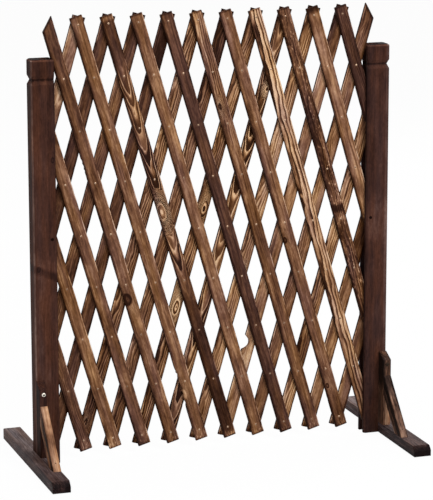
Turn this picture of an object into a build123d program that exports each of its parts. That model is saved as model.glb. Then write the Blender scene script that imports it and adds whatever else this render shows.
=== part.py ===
from build123d import *
import os
from math import cos, radians, sin, tan

# Expandable wooden fence: a riveted scissor lattice between two standing posts.
# Millimetres. X runs along the fence, the front faces -Y and +Z is up.
# The origin is on the ground in the middle of the footprint. The lattice stands a little behind it.

# Lattice
column_count = 11
row_count = 8
middle_row = row_count // 2
pivot_pitch = 114.5
lean_deg = 16.25
slat_width = 27.0
slat_thickness = 7.5
slat_edge = 1.0
top_overrun = 17.0
bottom_overrun = 21.5
hidden_overrun = 10.0
layer_gap = 0.3
mitre_deg = 45.0
middle_height = 480.0

# Nails that join the two layers, drawn with flats
nail_radius = 1.1
nail_sides = 6
nail_head_radius = 2.2
nail_head_sides = 8
nail_head_thickness = 0.8
nail_tail = 0.6

# Fits
running_clearance = 0.05
seat_clearance = 0.02
slide_clearance = 0.5

# Posts
post_width = 50.0
post_depth = 38.0
post_height = 853.0
post_edge = 3.5
post_top_edge = 3.0
post_inset = 10.0
groove_depth = 28.0
vee_below_top = 42.5
vee_half_height = 9.5
vee_depth = 4.3
pin_radius = 2.5
pin_head_radius = 3.2
pin_head_thickness = 0.8

# Feet
foot_width = 38.0
foot_height = 23.0
foot_length = 418.0
lattice_behind_middle = 14.0
foot_end_chamfer = 10.0
foot_edge = 1.5

# Braces, cut from one batten
brace_thickness = 17.0
batten_width = 29.0
batten_edge = 1.0
leg_above_screw = 23.0
leg_top_drop = 14.0
strut_below_screw = 25.0
strut_reach = 102.0
dowel_radius = 3.0
dowel_length = 24.0

# Screws
screw_radius = 2.0
screw_height = 159.0
screw_head_radius = 4.4
screw_head_height = 2.2
screw_bite = 14.0
foot_screw_head_radius = 3.6
foot_screw_head_thickness = 2.0
foot_screw_recess = 3.0
foot_screw_length = 45.0
foot_screw_spacing = 20.0
strut_screw_length = 35.0
foot_screw_sides = 6

# Worked out from the sizes above
lean = radians(lean_deg)
half_column = pivot_pitch * sin(lean)
row_rise = pivot_pitch * cos(lean)
half_fence = column_count * half_column
mid_y = lattice_behind_middle
front_face = mid_y - layer_gap / 2 - slat_thickness
rear_face = mid_y + layer_gap / 2 + slat_thickness
post_inner = half_fence - post_inset
post_outer = post_inner + post_width
groove_half_width = rear_face - mid_y + nail_head_thickness + slide_clearance
foot_inner = post_outer - brace_thickness
foot_outer = foot_inner + foot_width
foot_half = foot_length / 2
brace_middle = post_outer - brace_thickness / 2
post_front = mid_y - post_depth / 2
leg_front = post_front - batten_width
strut_foot = leg_front - strut_reach
strut_top = screw_height - strut_below_screw
leg_top = screw_height + leg_above_screw
front_count = 14
rear_count = 14
front_first = -3
rear_first = 1
sides = {"left": -1, "right": 1}

os.makedirs("parts", exist_ok=True)


def keep(piece, name):
    """Label a finished piece and write it to its own file."""
    piece.part.label = name
    export_step(piece.part, f"parts/{name}.step")


def column_x(column):
    """Place along the fence of a pivot column, counted from the left post."""
    return (2 * column - column_count) * half_column


def row_z(row):
    """Height of a pivot row, counted from the top of the lattice."""
    return middle_height + (middle_row - row) * row_rise


def front_column(index, row):
    """Column where front slat index crosses a row, leaning to the right as it falls."""
    return index + row / 2


def rear_column(index, row):
    """Column where rear slat index crosses a row, leaning to the left as it falls."""
    return index - row / 2


def rows_of(column_of, index):
    """Rows of a slat that lie between the two outermost columns."""
    return [row for row in range(row_count + 1) if 0 <= column_of(index, row) <= column_count]


def is_post_pivot(column, row):
    """Whether a crossing is one of the two that are pinned to the posts."""
    return row == middle_row and column in (0, column_count)


def front_crosses(index, row):
    """Whether a rear slat meets front slat index at this row."""
    return rear_first <= index + row < rear_first + rear_count


def rear_crosses(index, row):
    """Whether a front slat meets rear slat index at this row."""
    return front_first <= index - row < front_first + front_count


def overrun_at(column, free_overrun):
    """Wood left beyond an end pivot: short where the end hides in a post's groove."""
    if column in (0, column_count):
        return hidden_overrun
    return free_overrun


def make_slat(name, column_of, index, crosses, turn, face, clearance):
    """One lattice slat: a straight batten with a hole at every crossing.

    turn is +1 where the slat falls to the right and -1 where it falls to the left,
    face is the Y of its front face.
    """
    rows = rows_of(column_of, index)
    first, last = rows[0], rows[-1]
    fall = Vector(turn * sin(lean), 0, -cos(lean))
    start = Vector(column_x(column_of(index, first)), face, row_z(first))
    half = slat_width / 2
    top = -overrun_at(column_of(index, first), top_overrun)
    bottom = (last - first) * pivot_pitch + overrun_at(column_of(index, last), bottom_overrun)
    outer_top = top
    inner_top = top
    if first == 0 and not crosses(index, first):
        inner_top = -top_overrun
        outer_top = inner_top + slat_width * tan(radians(mitre_deg))
    outer = turn * half
    with BuildPart() as slat:
        with BuildSketch(Plane(origin=start, x_dir=fall, z_dir=(0, 1, 0))):
            with BuildLine():
                Polyline(
                    (outer_top, outer),
                    (inner_top, -outer),
                    (bottom, -outer),
                    (bottom, outer),
                    close=True,
                )
            make_face()
            for row in rows:
                if crosses(index, row):
                    with Locations(((row - first) * pivot_pitch, 0)):
                        if is_post_pivot(column_of(index, row), row):
                            Circle(pin_radius + running_clearance, mode=Mode.SUBTRACT)
                        else:
                            RegularPolygon(
                                nail_radius + clearance,
                                nail_sides,
                                major_radius=False,
                                mode=Mode.SUBTRACT,
                            )
        extrude(amount=slat_thickness)
        long_edges = slat.edges().filter_by(Axis((0, 0, 0), fall))
        chamfer(long_edges, slat_edge)
    keep(slat, name)


def make_nails(name, index):
    """The nails that ride on one front slat, one at each of its free crossings."""
    rows = [row for row in rows_of(front_column, index) if front_crosses(index, row)]
    places = [
        (column_x(front_column(index, row)), row_z(row))
        for row in rows
        if not is_post_pivot(front_column(index, row), row)
    ]
    head_plane = Plane(origin=(0, front_face - nail_head_thickness, 0), x_dir=(1, 0, 0), z_dir=(0, -1, 0))
    shank_length = nail_head_thickness + rear_face - front_face + nail_tail
    with BuildPart() as nails:
        with BuildSketch(head_plane):
            with Locations(*places):
                RegularPolygon(nail_head_radius, nail_head_sides)
        extrude(amount=-nail_head_thickness)
        with BuildSketch(head_plane):
            with Locations(*places):
                RegularPolygon(nail_radius, nail_sides)
        extrude(amount=-shank_length)
    keep(nails, name)


def post_section(height, shrink, inner_shrink):
    """Post outline at a height, drawn in by shrink on three sides and by inner_shrink at the lattice."""
    middle = (post_inner + inner_shrink + post_outer - shrink) / 2
    with BuildSketch(Plane.XY.offset(height)) as section:
        with Locations((side * middle, mid_y)):
            outline = Rectangle(post_width - shrink - inner_shrink, post_depth - 2 * shrink)
        chamfer(outline.vertices(), post_edge)
    return section.sketch


for number in range(front_count):
    make_slat(
        f"front_slat_{number + 1:02d}",
        front_column,
        front_first + number,
        front_crosses,
        1,
        front_face,
        seat_clearance,
    )
    make_nails(f"nails_{number + 1:02d}", front_first + number)

for number in range(rear_count):
    make_slat(
        f"rear_slat_{number + 1:02d}",
        rear_column,
        rear_first + number,
        rear_crosses,
        -1,
        mid_y + layer_gap / 2,
        running_clearance,
    )

for side_name, side in sides.items():
    post_screw_places = [
        (side * brace_middle, mid_y - foot_screw_spacing / 2),
        (side * brace_middle, mid_y + foot_screw_spacing / 2),
    ]
    screw_places = post_screw_places + [(side * brace_middle, strut_foot + batten_width / 2)]

    # Post: timber with a deep groove for the lattice and a V-groove round the head's other three sides
    vee_middle = post_height - vee_below_top
    sections = [
        (0, 0, 0),
        (vee_middle - vee_half_height, 0, 0),
        (vee_middle, vee_depth, 0),
        (vee_middle + vee_half_height, 0, 0),
        (post_height - post_top_edge, 0, 0),
        (post_height, post_top_edge, post_top_edge),
    ]
    with BuildPart() as post:
        loft([post_section(*section) for section in sections], ruled=True)
        with BuildSketch(Plane.XY):
            with Locations((side * (post_inner + groove_depth / 2), mid_y)):
                Rectangle(groove_depth, 2 * groove_half_width)
        extrude(amount=post_height, mode=Mode.SUBTRACT)
        with BuildSketch(Plane.XY):
            with Locations((side * brace_middle, mid_y)):
                Rectangle(brace_thickness, post_depth)
        extrude(amount=foot_height, mode=Mode.SUBTRACT)
        with BuildSketch(Plane.XZ.offset(-post_front)):
            with Locations((side * half_fence, middle_height)):
                Circle(pin_radius + seat_clearance)
        extrude(amount=-post_depth, mode=Mode.SUBTRACT)
        with BuildSketch(Plane.XZ.offset(-post_front)):
            with Locations((side * brace_middle, screw_height)):
                Circle(screw_radius + seat_clearance)
        extrude(amount=-screw_bite, mode=Mode.SUBTRACT)
        with BuildSketch(Plane.XY.offset(foot_height)):
            with Locations(*post_screw_places):
                RegularPolygon(screw_radius + seat_clearance, foot_screw_sides)
        extrude(amount=foot_screw_length + foot_screw_recess - foot_height, mode=Mode.SUBTRACT)
    keep(post, f"post_{side_name}")

    # Pin through both cheeks of the groove: the one crossing that is fixed to the post
    with BuildPart() as pin:
        with BuildSketch(Plane.XZ.offset(-post_front)):
            with Locations((side * half_fence, middle_height)):
                Circle(pin_radius)
        extrude(amount=-post_depth)
        with BuildSketch(Plane.XZ.offset(-post_front)):
            with Locations((side * half_fence, middle_height)):
                Circle(pin_head_radius)
        extrude(amount=pin_head_thickness)
    keep(pin, f"post_pin_{side_name}")

    # Foot: a batten across the fence, under the post and the brace, bevelled at its front end
    with BuildPart() as foot:
        with BuildSketch(Plane.YZ.offset(side * (foot_inner + foot_outer) / 2)):
            with BuildLine():
                Polyline(
                    (-foot_half, 0),
                    (-foot_half, foot_height - foot_end_chamfer),
                    (foot_end_chamfer - foot_half, foot_height),
                    (foot_half, foot_height),
                    (foot_half, 0),
                    close=True,
                )
            make_face()
        extrude(amount=foot_width / 2, both=True)
        top_edges = foot.edges().filter_by(Axis.Y).group_by(Axis.Z)[-1]
        chamfer(top_edges.sort_by(Axis.X)[0 if side < 0 else -1], foot_edge)
        with BuildSketch(Plane.XY):
            with Locations(*screw_places):
                RegularPolygon(foot_screw_head_radius + seat_clearance, foot_screw_sides)
        extrude(amount=foot_screw_recess, mode=Mode.SUBTRACT)
        with BuildSketch(Plane.XY):
            with Locations(*screw_places):
                RegularPolygon(screw_radius + seat_clearance, foot_screw_sides)
        extrude(amount=foot_height, mode=Mode.SUBTRACT)
    keep(foot, f"foot_{side_name}")

    # Leg of the brace: upright batten on the post's front, its top sloped to shed water
    strut_fall = Vector(0, strut_foot - leg_front, foot_height - strut_top)
    strut_slope = strut_fall.normalized()
    upright_cut = batten_width / -strut_slope.Y
    level_cut = batten_width / -strut_slope.Z
    dowel_height = strut_top - upright_cut / 2
    with BuildPart() as leg:
        with BuildSketch(Plane.YZ.offset(side * brace_middle)):
            with BuildLine():
                Polyline(
                    (post_front, foot_height),
                    (post_front, leg_top),
                    (leg_front, leg_top - leg_top_drop),
                    (leg_front, foot_height),
                    close=True,
                )
            make_face()
        extrude(amount=brace_thickness / 2, both=True)
        chamfer(leg.edges().filter_by(Axis.Z).group_by(Axis.Y)[0], batten_edge)
        with BuildSketch(Plane.XZ.offset(-leg_front)):
            with Locations((side * brace_middle, screw_height)):
                Circle(screw_radius + seat_clearance)
        extrude(amount=-batten_width, mode=Mode.SUBTRACT)
        with BuildSketch(Plane.XZ.offset(-leg_front)):
            with Locations((side * brace_middle, dowel_height)):
                Circle(dowel_radius + seat_clearance)
        extrude(amount=-dowel_length / 2, mode=Mode.SUBTRACT)
    keep(leg, f"brace_leg_{side_name}")

    # Strut of the brace: the same batten, mitred between the leg and the foot
    with BuildPart() as strut:
        with BuildSketch(Plane.YZ.offset(side * brace_middle)):
            with BuildLine():
                Polyline(
                    (leg_front, strut_top),
                    (strut_foot, foot_height),
                    (strut_foot + level_cut, foot_height),
                    (leg_front, strut_top - upright_cut),
                    close=True,
                )
            make_face()
        extrude(amount=brace_thickness / 2, both=True)
        chamfer(strut.edges().filter_by(Axis((0, 0, 0), strut_slope)), batten_edge)
        with BuildSketch(Plane.XZ.offset(-leg_front)):
            with Locations((side * brace_middle, dowel_height)):
                Circle(dowel_radius + seat_clearance)
        extrude(amount=dowel_length / 2, mode=Mode.SUBTRACT)
        with BuildSketch(Plane.XY.offset(foot_height)):
            with Locations((side * brace_middle, strut_foot + batten_width / 2)):
                RegularPolygon(screw_radius + seat_clearance, foot_screw_sides)
        extrude(amount=strut_screw_length + foot_screw_recess - foot_height, mode=Mode.SUBTRACT)
    keep(strut, f"brace_strut_{side_name}")

    # Dowel that holds the strut's upper end to the leg
    with BuildPart() as dowel:
        with BuildSketch(Plane.XZ.offset(-leg_front - dowel_length / 2)):
            with Locations((side * brace_middle, dowel_height)):
                Circle(dowel_radius)
        extrude(amount=dowel_length)
    keep(dowel, f"brace_dowel_{side_name}")

    # Round-headed screw through the leg into the post
    with BuildPart() as brace_screw:
        with BuildSketch(Plane.XZ.offset(-leg_front)):
            with Locations((side * brace_middle, screw_height)):
                Circle(screw_radius)
        extrude(amount=-batten_width - screw_bite)
        with BuildSketch(Plane.XZ.offset(-leg_front)):
            with Locations((side * brace_middle, screw_height)):
                Circle(screw_head_radius)
        extrude(amount=screw_head_height)
        chamfer(brace_screw.faces().sort_by(Axis.Y)[0].edges(), screw_head_height / 2)
    keep(brace_screw, f"brace_screw_{side_name}")

    # Screws from below: two hold the post on the foot and one holds the strut
    with BuildPart() as foot_screws:
        lengths = [foot_screw_length, foot_screw_length, strut_screw_length]
        with BuildSketch(Plane.XY.offset(foot_screw_recess)):
            with Locations(*screw_places):
                RegularPolygon(foot_screw_head_radius, foot_screw_sides)
        extrude(amount=-foot_screw_head_thickness)
        for place, length in zip(screw_places, lengths):
            with BuildSketch(Plane.XY.offset(foot_screw_recess)):
                with Locations(place):
                    RegularPolygon(screw_radius, foot_screw_sides)
            extrude(amount=length)
    keep(foot_screws, f"foot_screws_{side_name}")
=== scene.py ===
"""Looks of the expandable pine fence: charred slats, nails, grooved posts, braces and feet."""
import logging
import math
from dataclasses import dataclass
from enum import Enum
from typing import Any, Dict, List, Optional, Sequence, Tuple, Union

import bmesh
import bpy
from mathutils import Matrix, Vector


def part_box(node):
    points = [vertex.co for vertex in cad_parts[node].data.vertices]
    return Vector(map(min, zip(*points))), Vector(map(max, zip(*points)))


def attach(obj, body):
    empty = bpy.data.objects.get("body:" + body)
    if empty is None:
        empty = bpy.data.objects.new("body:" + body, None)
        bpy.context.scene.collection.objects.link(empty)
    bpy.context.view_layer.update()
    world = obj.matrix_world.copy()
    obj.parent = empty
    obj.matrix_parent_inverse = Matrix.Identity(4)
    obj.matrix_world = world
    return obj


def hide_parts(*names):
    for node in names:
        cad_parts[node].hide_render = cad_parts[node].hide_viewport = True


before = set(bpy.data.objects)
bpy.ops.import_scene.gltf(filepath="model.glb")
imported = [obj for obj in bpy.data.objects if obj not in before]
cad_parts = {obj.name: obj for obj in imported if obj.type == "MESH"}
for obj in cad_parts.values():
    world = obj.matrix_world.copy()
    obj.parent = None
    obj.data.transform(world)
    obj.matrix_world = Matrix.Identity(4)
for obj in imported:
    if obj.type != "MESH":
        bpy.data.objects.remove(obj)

log = logging.getLogger("fence")
MM = 0.001
FLOAT, VECTOR, WHOLE, FINISH = "NodeSocketFloat", "NodeSocketVector", "NodeSocketInt", "NodeSocketMaterial"
Colour = Tuple[float, float, float, float]
Point = Tuple[float, float, float]
WHITE: Colour = (1.0, 1.0, 1.0, 1.0)


def paint(red: int, green: int, blue: int) -> Colour:
    """Turns a screen colour into the linear colour that a shader takes.

    Args:
        red: Red, 0 to 255.
        green: Green, 0 to 255.
        blue: Blue, 0 to 255.

    Returns:
        The linear colour, opaque.
    """
    channels = [value / 255 for value in (red, green, blue)]
    linear = [c / 12.92 if c <= 0.04045 else ((c + 0.055) / 1.055) ** 2.4 for c in channels]
    return (linear[0], linear[1], linear[2], 1.0)


def put(name: str, data: Any) -> bpy.types.Object:
    """Makes an object at the origin and puts it in the scene.

    Args:
        name: Its name.
        data: Its mesh, light or camera.

    Returns:
        The object.
    """
    made = bpy.data.objects.new(name, data)
    bpy.context.scene.collection.objects.link(made)
    return made


class Wire:
    """An output socket that adds Math nodes when it is used in an expression."""

    def __init__(self, graph: "Graph", socket: Any) -> None:
        """Keeps the socket and the graph that it belongs to."""
        self.graph = graph
        self.socket = socket

    def __add__(self, other: "Value") -> "Wire":
        """Sum."""
        return self.graph.math("ADD", self, other)

    __radd__ = __add__

    def __sub__(self, other: "Value") -> "Wire":
        """Difference."""
        return self.graph.math("SUBTRACT", self, other)

    def __rsub__(self, other: "Value") -> "Wire":
        """Difference, with the wire on the right."""
        return self.graph.math("SUBTRACT", other, self)

    def __mul__(self, other: "Value") -> "Wire":
        """Product."""
        return self.graph.math("MULTIPLY", self, other)

    __rmul__ = __mul__

    def __truediv__(self, other: "Value") -> "Wire":
        """Quotient."""
        return self.graph.math("DIVIDE", self, other)

    def __neg__(self) -> "Wire":
        """The value with its sign turned."""
        return self.graph.math("MULTIPLY", self, -1.0)

    def __abs__(self) -> "Wire":
        """The value without its sign."""
        return self.graph.math("ABSOLUTE", self)


Value = Union[Wire, float]


class Graph:
    """Adds nodes to a shader or geometry tree."""

    def __init__(self, tree: bpy.types.NodeTree) -> None:
        """Keeps the tree that nodes go into."""
        self.tree = tree

    def node(self, kind: str, settings: Optional[Dict[str, Any]] = None,
             sockets: Optional[Dict[Union[str, int], Any]] = None, out: Union[str, int] = 0) -> Wire:
        """Adds one node.

        Args:
            kind: The node's type name.
            settings: Its properties, set before its sockets. "stops" fills a colour ramp.
            sockets: Values or wires for its inputs, by name or number.
            out: The output that the wire stands for.

        Returns:
            The wire of that output.
        """
        made = self.tree.nodes.new(kind)
        for name, value in (settings or {}).items():
            if name == "stops":
                self._fill_ramp(made.color_ramp, value)
            else:
                setattr(made, name, value)
        self.feed(made, sockets or {})
        return Wire(self, made.outputs[out])

    def feed(self, node: bpy.types.Node, sockets: Dict[Union[str, int], Any]) -> None:
        """Sets a node's inputs.

        Args:
            node: The node.
            sockets: Values or wires for its inputs, by name or number.
        """
        for name, value in sockets.items():
            if isinstance(value, Wire):
                self.tree.links.new(value.socket, node.inputs[name])
            else:
                node.inputs[name].default_value = value

    @staticmethod
    def _fill_ramp(ramp: bpy.types.ColorRamp, stops: Sequence[Tuple[float, Colour]]) -> None:
        """Sets a ramp's stops.

        Args:
            ramp: The colour ramp.
            stops: Place and colour of each stop, in rising order.
        """
        while len(ramp.elements) < len(stops):
            ramp.elements.new(1.0)
        for element, (place, colour) in zip(ramp.elements, stops):
            element.position = place
            element.color = colour

    def math(self, operation: str, *values: Value, clamp: bool = False) -> Wire:
        """One Math node of the given operation."""
        settings = {"operation": operation, "use_clamp": clamp}
        return self.node("ShaderNodeMath", settings, dict(enumerate(values)))

    def distance(self, first: Wire, second: Wire) -> Wire:
        """Length of two offsets at right angles."""
        return self.math("SQRT", first * first + second * second)

    def step(self, value: Value, low: float, high: float) -> Wire:
        """Rises smoothly from 0 at low to 1 at high, or falls where low is the larger."""
        ends = {"Value": value, "From Min": low, "From Max": high}
        return self.node("ShaderNodeMapRange", {"interpolation_type": "SMOOTHSTEP"}, ends)

    def vector(self, x: Value, y: Value, z: Value) -> Wire:
        """A vector from three values."""
        return self.node("ShaderNodeCombineXYZ", None, {0: x, 1: y, 2: z})

    def split(self, vector: Wire) -> Tuple[Wire, Wire, Wire]:
        """The three values of a vector."""
        made = self.node("ShaderNodeSeparateXYZ", None, {0: vector}).socket.node
        return (Wire(self, made.outputs[0]), Wire(self, made.outputs[1]), Wire(self, made.outputs[2]))

    def noise(self, x: Value, y: Value, z: Value, detail: float = 2.0, roughness: float = 0.5) -> Wire:
        """Smooth noise of 0 to 1 whose cells are one unit wide."""
        sockets = {"Vector": self.vector(x, y, z), "Scale": 1.0, "Detail": detail, "Roughness": roughness}
        return self.node("ShaderNodeTexNoise", None, sockets)

    def blend(self, factor: Value, first: Any, second: Any) -> Wire:
        """Colour mix of two wires or colours."""
        return self.node("ShaderNodeMix", {"data_type": "RGBA"}, {0: factor, 6: first, 7: second}, 2)

    def bump(self, height: Wire, strength: float, distance: float) -> Wire:
        """The surface's direction where it follows a height."""
        sockets = {"Strength": strength, "Distance": distance, "Height": height}
        return self.node("ShaderNodeBump", None, sockets)


class Tone(Enum):
    """Colours of a charred timber from its blackest grain to its palest, cool and warm."""

    PINE = (
        (paint(36, 17, 11), paint(68, 43, 35), paint(107, 72, 57), paint(155, 118, 98),
         paint(203, 170, 148)),
        (paint(40, 18, 4), paint(78, 46, 22), paint(121, 82, 51), paint(178, 134, 94),
         paint(218, 182, 142)))
    POST = (
        (paint(18, 12, 13), paint(42, 28, 27), paint(66, 44, 39), paint(92, 68, 61),
         paint(130, 104, 94)),
        (paint(22, 12, 10), paint(50, 29, 22), paint(78, 47, 35), paint(108, 70, 54),
         paint(148, 104, 80)))
    FOOT = (
        (paint(18, 13, 14), paint(50, 38, 39), paint(86, 73, 74), paint(122, 110, 111),
         paint(156, 142, 138)),
        (paint(24, 14, 13), paint(60, 42, 39), paint(96, 73, 66), paint(132, 108, 99),
         paint(164, 142, 128)))
    BRACE = (
        (paint(28, 21, 19), paint(70, 52, 45), paint(118, 90, 76), paint(164, 130, 110),
         paint(206, 176, 152)),
        (paint(34, 22, 16), paint(84, 54, 37), paint(142, 98, 70), paint(190, 142, 106),
         paint(224, 184, 146)))


TONE_STOPS = (0.0, 0.25, 0.5, 0.75, 1.0)


@dataclass(frozen=True)
class Cut:
    """How a batten was sawn from the tree.

    Attributes:
        run: How fast the rings are crossed from edge to edge.
        bow: How far the rings bow towards the edges.
        taper: How fast the rings are crossed along the board, which draws long flames.
        ring: Width of a ring in mm.
        contrast: Strength of the rings.
        streaks: Strength of the long streaks.
        onset: Share of a ring that is pale early wood.
        flecks: Strength of the pale flecks.
    """

    run: float
    bow: float
    taper: float
    ring: float
    contrast: float
    streaks: float
    onset: float = 0.5
    flecks: float = 0.0

    @property
    def mean_late(self) -> float:
        """Late wood on the average of a ring, which leaves the board's tone as it is."""
        return 0.75 * (0.95 - self.onset)


class Grain(Enum):
    """Cuts of timber in the fence."""

    SMOOTH = Cut(0.7, 0.15, 0.012, 9.0, 0.05, 0.09)
    PLAIN = Cut(0.7, 0.15, 0.012, 7.5, 0.12, 0.22)
    FINE = Cut(1.0, 0.1, 0.012, 3.6, 0.22, 0.28)
    STREAKED = Cut(1.0, 0.3, 0.03, 5.2, 0.5, 0.34, 0.45)
    STRIPED = Cut(0.9, 0.3, 0.03, 7.8, 0.88, 0.36, 0.58)
    FLAME = Cut(0.1, 1.1, 0.16, 7.4, 1.0, 0.2, 0.22)
    FLECKED = Cut(0.7, 0.4, 0.03, 4.4, 0.3, 0.5, 0.45, 0.34)


@dataclass(frozen=True)
class Cells:
    """Noise that runs with a board.

    Attributes:
        size: Length, width and depth of a cell in mm.
        slanted: Whether the cells cross the board at the slant of the rings.
        shift: Shares of the board's own offset along, across and into it.
        detail: Number of finer layers.
        roughness: Strength of the finer layers.
    """

    size: Point
    slanted: bool
    shift: Point
    detail: float = 2.0
    roughness: float = 0.5


class Pattern(Enum):
    """Patterns that a board's tone is mixed from."""

    WANDER = Cells((80.0, 30.0, 30.0), False, (1.0, 1.0, 0.0))
    RIPPLE = Cells((22.0, 6.0, 6.0), True, (1.0, 0.0, 1.0))
    STREAK = Cells((110.0, 3.0, 3.0), True, (1.0, 0.0, 1.0), 2.0, 0.6)
    FIBRE = Cells((26.0, 1.1, 1.1), True, (1.0, 0.0, 1.0), 2.0, 0.6)
    CLOUD = Cells((58.0, 19.0, 19.0), False, (1.7, 0.0, 1.0), 3.0, 0.65)
    MOTTLE = Cells((8.0, 3.6, 4.0), True, (1.0, 0.0, -1.0), 3.0, 0.6)
    WARMTH = Cells((120.0, 20.0, 20.0), False, (1.0, -1.0, 0.0), 1.0)


class Burn(Enum):
    """How far the flame went: place on the scale from black to pale."""

    BLACK = 0.2
    DARK = 0.3
    UMBER = 0.38
    BROWN = 0.45
    MID = 0.52
    HONEY = 0.58
    PALE = 0.66


class Edge(Enum):
    """Where the tone turns near an edge: first and last distance inside it, in mm."""

    SIDE = (1.0, 0.2)
    FACE = (1.4, 0.5)
    BACK = (0.8, 0.2)
    MARGIN = (6.0, 1.0)
    FAR_MARGIN = (4.5, 0.6)
    CORNER = (0.6, -0.4)
    CORNER_FRONT = (0.4, -0.6)
    RUBBED = (4.2, 2.2)
    RUBBED_FRONT = (2.5, 1.5)
    NOSE = (9.0, 5.0)
    FRAYED = (24.0, 6.0)
    LIVELY_START = (30.0, -20.0)
    LIVELY_END = (-90.0, 60.0)

    def reached(self, distance: Wire, edge: float) -> Wire:
        """Turns from 0 to 1 as a distance comes to the edge's own."""
        first, last = self.value
        return distance.graph.step(distance, edge - first, edge - last)


class KnotZone(Enum):
    """Zones of a knot: shares of its radius where each starts and is full."""

    RINGS = (3.6, 0.9)
    RIM = (1.2, 0.85)
    HEART = (0.7, 0.2)


@dataclass(frozen=True)
class BoardPoint:
    """The shaded point of a board.

    Attributes:
        graph: The material's graph.
        along: Distance along the board in mm.
        depth: Distance into it.
        across: Distance across it.
        slant: Distance across it at the slant of the rings.
        offset: The board's own shift of its patterns.
    """

    graph: Graph
    along: Wire
    depth: Wire
    across: Wire
    slant: Wire
    offset: float

    def pattern(self, pattern: Pattern) -> Wire:
        """Noise in the pattern's cells.

        Args:
            pattern: The pattern.

        Returns:
            Values of -0.5 to 0.5.
        """
        cells = pattern.value
        wires = (self.along, self.slant if cells.slanted else self.across, self.depth)
        places = [wire / size + self.offset * shift if shift else wire / size
                  for wire, size, shift in zip(wires, cells.size, cells.shift)]
        return self.graph.noise(*places, cells.detail, cells.roughness) - 0.5


@dataclass(frozen=True)
class Knot:
    """A knot: its place along and across the board, its radius in mm, and its core, below 0 if pale."""

    along: float
    across: float
    radius: float
    dark: float = 1.0

    @property
    def oval(self) -> float:
        """Its width as a share of its length."""
        return 0.62 if self.dark > 0 else 0.42

    def zone(self, zone: KnotZone, apart: Wire) -> Wire:
        """Rises from 0 to 1 where the distance from the knot comes into a zone."""
        outer, inner = zone.value
        return apart.graph.step(apart, outer * self.radius, inner * self.radius)


@dataclass(frozen=True)
class Band:
    """A darker or paler band: its place and reach along the board in mm, its shift and its slant."""

    along: float
    reach: float
    shift: float
    slant: float = 0.0


@dataclass(frozen=True)
class Faces:
    """Shifts of the tone on a board's faces, corners and ends. Sizes in mm, from the board's middle.

    Attributes:
        half_width: Half of the board across.
        half_depth: Half of its thickness.
        back: Painted light on the back, which on the foot, whose depth runs up, is its top.
        sides: Shift on the two narrow sides: char, and painted shade.
        corner: Shift on the front corner that is paler: wear, and a painted highlight where the corner faces
            the light.
        corner_width: How far the pale corner reaches across.
        corner_depth: How far it reaches into the board.
        corner_cool: How much cooler the pale corner is.
        broken: Whether the pale corner comes and goes.
        upper: Side whose corner is pale, 1 or -1, or 0 for both.
        rubbed: Shift on the worn patches of the other corner.
        margin: Shift along both edges of the front, full on the side away from upper: char, and on the slats
            painted shade along the lower edge.
        inner_from: Distance across where the inner strip starts.
        inner: Shift on that strip.
        low: Where the board starts along its run.
        high: Where it ends.
        mitre: Slope of its upper end.
        ends: Shift at both ends.
        end_reach: How far that reaches from an end.
        frayed: Shift on the splinters of the lower end.
        ground_shade: Painted shade on the lower half of the sides, darker towards the ground.
        nose: Painted shade on one edge of the end that comes first, a bevel that faces away from the light.
    """

    half_width: float
    half_depth: float
    back: float = 0.0
    sides: float = -0.3
    corner: float = 0.0
    corner_width: float = 2.0
    corner_depth: float = 2.0
    corner_cool: float = 0.0
    broken: bool = True
    upper: float = 0.0
    rubbed: float = 0.0
    margin: float = 0.0
    inner_from: float = 0.0
    inner: float = 0.0
    low: float = -1000.0
    high: float = 1000.0
    mitre: float = 0.0
    ends: float = -0.3
    end_reach: float = 5.0
    frayed: float = 0.0
    ground_shade: float = 0.0
    nose: float = 0.0


class Finish:
    """A material of the fence, built from wires."""

    name: str

    def layers(self, graph: Graph) -> Dict[str, Value]:
        """Wires and values for the shader's inputs, by name."""
        raise NotImplementedError

    def material(self) -> bpy.types.Material:
        """Builds the finish.

        Returns:
            The new material, which follows Object coordinates.
        """
        made = bpy.data.materials.new(self.name)
        made.use_nodes = True
        graph = Graph(made.node_tree)
        graph.feed(made.node_tree.nodes["Principled BSDF"], self.layers(graph))
        return made


# How much the rings slant into a board, and what a seed of 1 moves the patterns by.
RING_SLANT, SEED_OFFSET = 0.6, 7.31
# Reaches in mm: half a slat, over which rings bow, and how far rings and knots stray.
BOW_REACH = 13.0
RING_WANDER, RING_RIPPLE = 18.0, 3.0
KNOT_WANDER, KNOT_RIPPLE = 7.0, 4.0
FADE_REACH = 400.0
# Where a ring's late wood sets in and breaks off, as shares of the ring, and how it varies.
LATE_SPREAD, LATE_BREAK, LATE_LEAST, LATE_VARIES = 0.3, 0.88, 0.4, 0.7
# Share of each pattern in the tone, and levels of noise at which a mark starts and is full.
STREAK_SHARE, FIBRE_SHARE, CLOUD_SHARE, CORE_SHARE, WHORL_SHARE = 2.4, 0.3, 2.5, 0.4, 1.1
WARMTH_SWING = 2.4
FLECKS, WORN_PATCHES, WHOLE_PATCHES, SPLINTERED = (0.06, 0.2), (0.36, 0.56), (0.62, 0.42), (0.5, 0.66)
# Relief of the brushed grain, and the roughness and bump that follow it.
LATE_RELIEF, FIBRE_RELIEF, CORE_RELIEF = 0.3, 0.4, 0.3
RELIEF_POLISH, RELIEF_STRENGTH, RELIEF_HEIGHT = 0.22, 0.7, 0.8 * MM
# Length and width of the patches and splinters in mm, and the stretch where a corner is rubbed.
PATCH_SIZE, SPLINTER_SIZE = (30.0, 40.0), (9.0, 3.5)
RUBBED_STRETCH = (250.0, 420.0)
# The nails' stain: its outer and inner reach in mm, and its shift.
STAIN_REACH, STAIN = (6.0, 2.4), 0.07
# How far edges of marks stray with the ripple, in mm, or as shares of the mark's reach.
MARGIN_STRAY, FAR_MARGIN_STRAY, RUBBED_STRAY, INNER_STRAY, SPOT_STRAY = 5.0, 4.0, 2.0, 1.5, 3.0
BAND_STRAY, END_STRAY = 0.9, 0.7
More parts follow.
